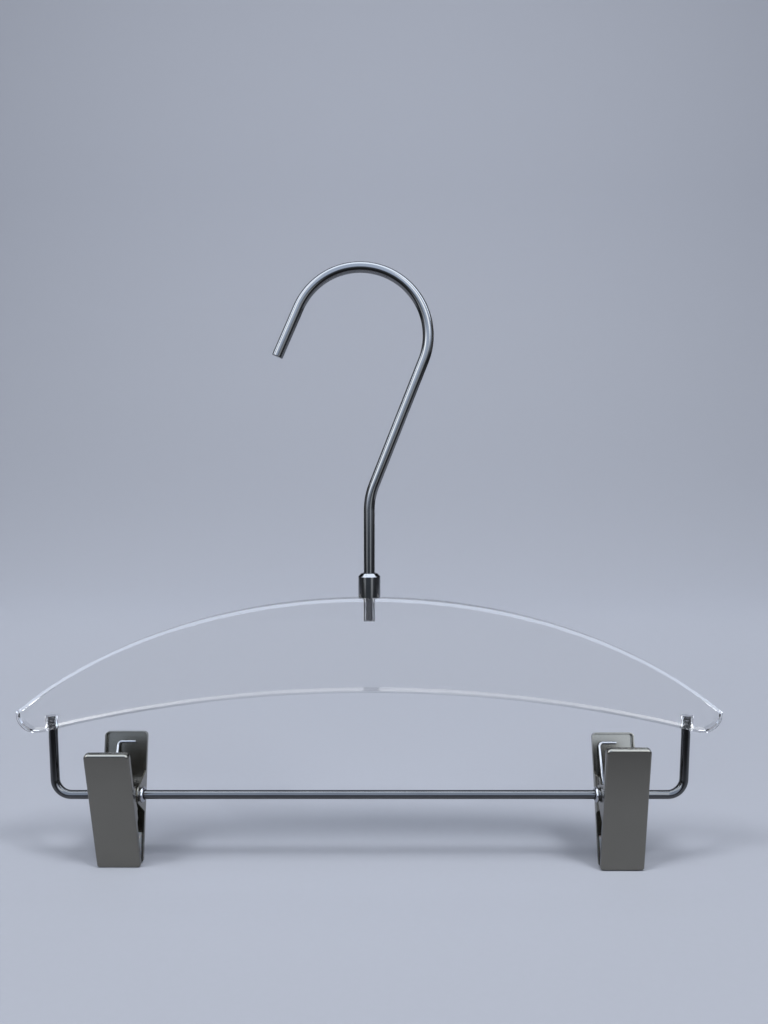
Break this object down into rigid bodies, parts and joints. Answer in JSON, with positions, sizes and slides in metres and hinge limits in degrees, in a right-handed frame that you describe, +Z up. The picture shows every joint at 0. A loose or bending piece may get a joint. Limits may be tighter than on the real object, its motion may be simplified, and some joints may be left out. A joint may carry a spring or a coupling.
{
  "type": "skirt hanger",
  "caption": "Clear crescent hanger plate on a swivelling wire hook, with a wire bar below it that carries two sliding, sprung metal clips.",
  "frame": {"origin": "top of the hook's inside curve, where a wardrobe rail carries the hanger", "axes": "+X to the right seen from the front, the hook's mouth opening towards -X; +Y away from the viewer, square to the plate; +Z up along the hook's stem"},
  "size_m": [0.3506, 0.0368, 0.3013],
  "materials": {
    "gunmetal_wire": "polished black nickel",
    "clear_acrylic": "clear cast acrylic, polished faces and bevels",
    "clip_sheet": "satin black nickel on pressed sheet",
    "spring_steel": "bright spring wire",
    "pad_rubber": "translucent pale grey, satin"
  },
  "bodies": {
    "hook": {"hook": "gunmetal_wire"},
    "hanger": {"body_plate": "clear_acrylic", "hook_collar": "gunmetal_wire", "hook_anchor": "gunmetal_wire", "anchor_plug": "gunmetal_wire", "lower_bar": "gunmetal_wire", "left_bar_ferrule": "gunmetal_wire", "right_bar_ferrule": "gunmetal_wire"},
    "left_tube": {"left_pivot_tube": "gunmetal_wire"},
    "left_coil": {"left_spring": "spring_steel"},
    "left_front": {"left_front_jaw": "clip_sheet", "left_front_pad": "pad_rubber"},
    "left_rear": {"left_rear_jaw": "clip_sheet", "left_rear_pad": "pad_rubber"},
    "right_tube": {"right_pivot_tube": "gunmetal_wire"},
    "right_coil": {"right_spring": "spring_steel"},
    "right_front": {"right_front_jaw": "clip_sheet", "right_front_pad": "pad_rubber"},
    "right_rear": {"right_rear_jaw": "clip_sheet", "right_rear_pad": "pad_rubber"}
  },
  "joints": [
    {"name": "hook_swivel", "type": "hinge", "parent": "hook", "child": "hanger", "pos_m": [0.0042, 0, -0.1599], "axis": [0, 0, 1], "continuous": true},
    {"name": "left_clip_slide", "type": "slide", "parent": "hanger", "child": "left_tube", "axis": [1, 0, 0], "range_m": [-0.01, 0.112]},
    {"name": "left_clip_swing", "type": "hinge", "parent": "left_tube", "child": "left_coil", "pos_m": [-0.1218, 0, -0.25925], "axis": [1, 0, 0], "range_deg": [-135, 135]},
    {"name": "left_front_jaw_open", "type": "hinge", "parent": "left_coil", "child": "left_front", "pos_m": [-0.1218, 0, -0.25925], "axis": [-1, 0, 0], "range_deg": [0, 16], "stiffness_Nm_per_rad": 0.5, "springref_deg": -17.19, "deforming": ["left_spring"]},
    {"name": "left_rear_jaw_open", "type": "hinge", "parent": "left_coil", "child": "left_rear", "pos_m": [-0.1218, 0, -0.25925], "axis": [1, 0, 0], "range_deg": [0, 16], "stiffness_Nm_per_rad": 0.5, "springref_deg": -17.19, "deforming": ["left_spring"]},
    {"name": "right_clip_slide", "type": "slide", "parent": "hanger", "child": "right_tube", "axis": [1, 0, 0], "range_m": [-0.112, 0.01]},
    {"name": "right_clip_swing", "type": "hinge", "parent": "right_tube", "child": "right_coil", "pos_m": [0.1302, 0, -0.25925], "axis": [1, 0, 0], "range_deg": [-135, 135]},
    {"name": "right_front_jaw_open", "type": "hinge", "parent": "right_coil", "child": "right_front", "pos_m": [0.1302, 0, -0.25925], "axis": [-1, 0, 0], "range_deg": [0, 16], "stiffness_Nm_per_rad": 0.5, "springref_deg": -17.19, "deforming": ["right_spring"]},
    {"name": "right_rear_jaw_open", "type": "hinge", "parent": "right_coil", "child": "right_rear", "pos_m": [0.1302, 0, -0.25925], "axis": [1, 0, 0], "range_deg": [0, 16], "stiffness_Nm_per_rad": 0.5, "springref_deg": -17.19, "deforming": ["right_spring"]}
  ],
  "couplings": [
    {"joint": "left_rear_jaw_open", "follows": "left_front_jaw_open", "ratio": 1},
    {"joint": "right_rear_jaw_open", "follows": "right_front_jaw_open", "ratio": 1}
  ]
}
